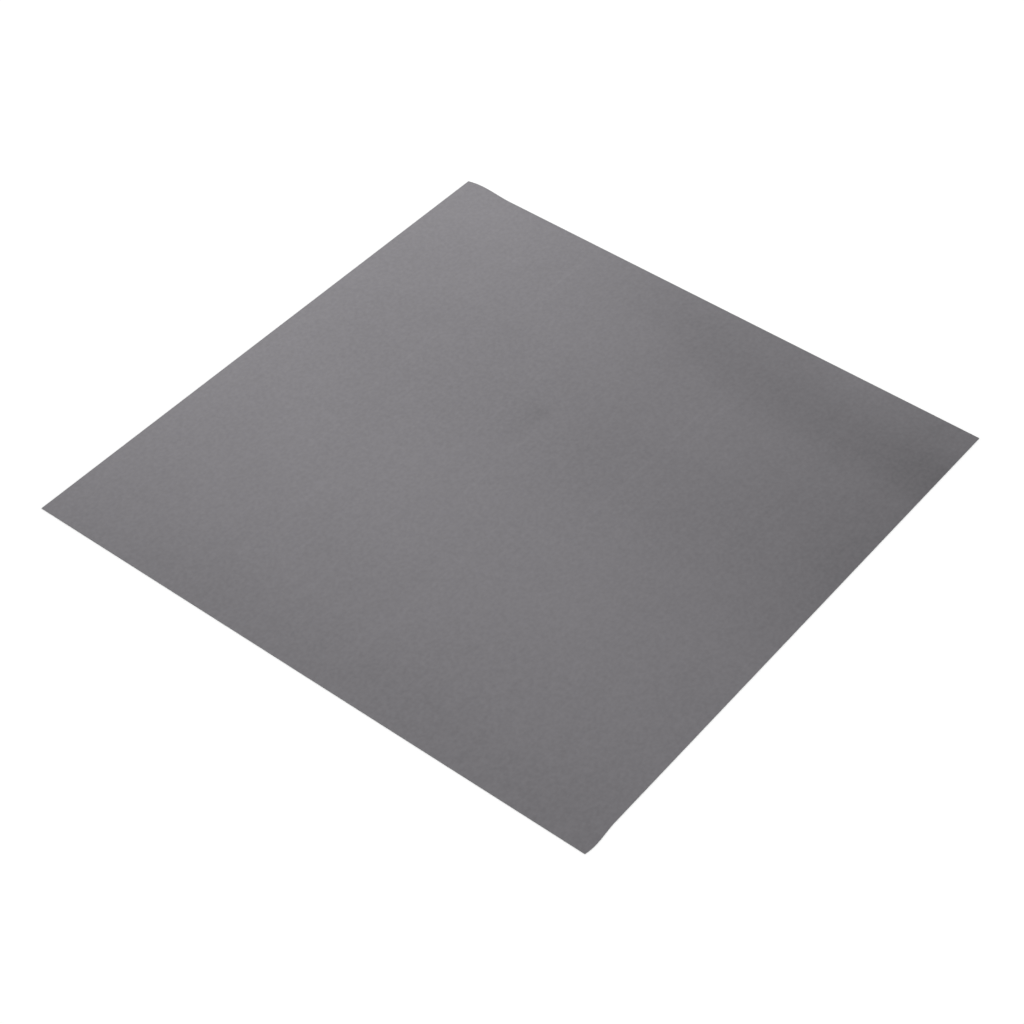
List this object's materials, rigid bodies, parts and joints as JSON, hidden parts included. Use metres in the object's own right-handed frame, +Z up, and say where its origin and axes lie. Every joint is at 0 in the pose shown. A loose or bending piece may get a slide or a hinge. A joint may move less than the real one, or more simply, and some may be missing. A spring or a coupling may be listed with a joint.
{
  "type": "steel sheet",
  "caption": "Flat square sheet of bare, matt cold-rolled steel, cut on all sides, for cutting, bending or cladding.",
  "frame": {"origin": "centre of the underside, which lies on z = 0", "axes": "+Z up through the sheet's thickness, +X and +Y along its sides, +Y along the rolling direction"},
  "size_m": [0.5012, 0.502, 0.0005],
  "materials": {
    "bare_steel": "satin"
  },
  "bodies": {
    "root": {"steel_sheet": "bare_steel"}
  },
  "joints": []
}
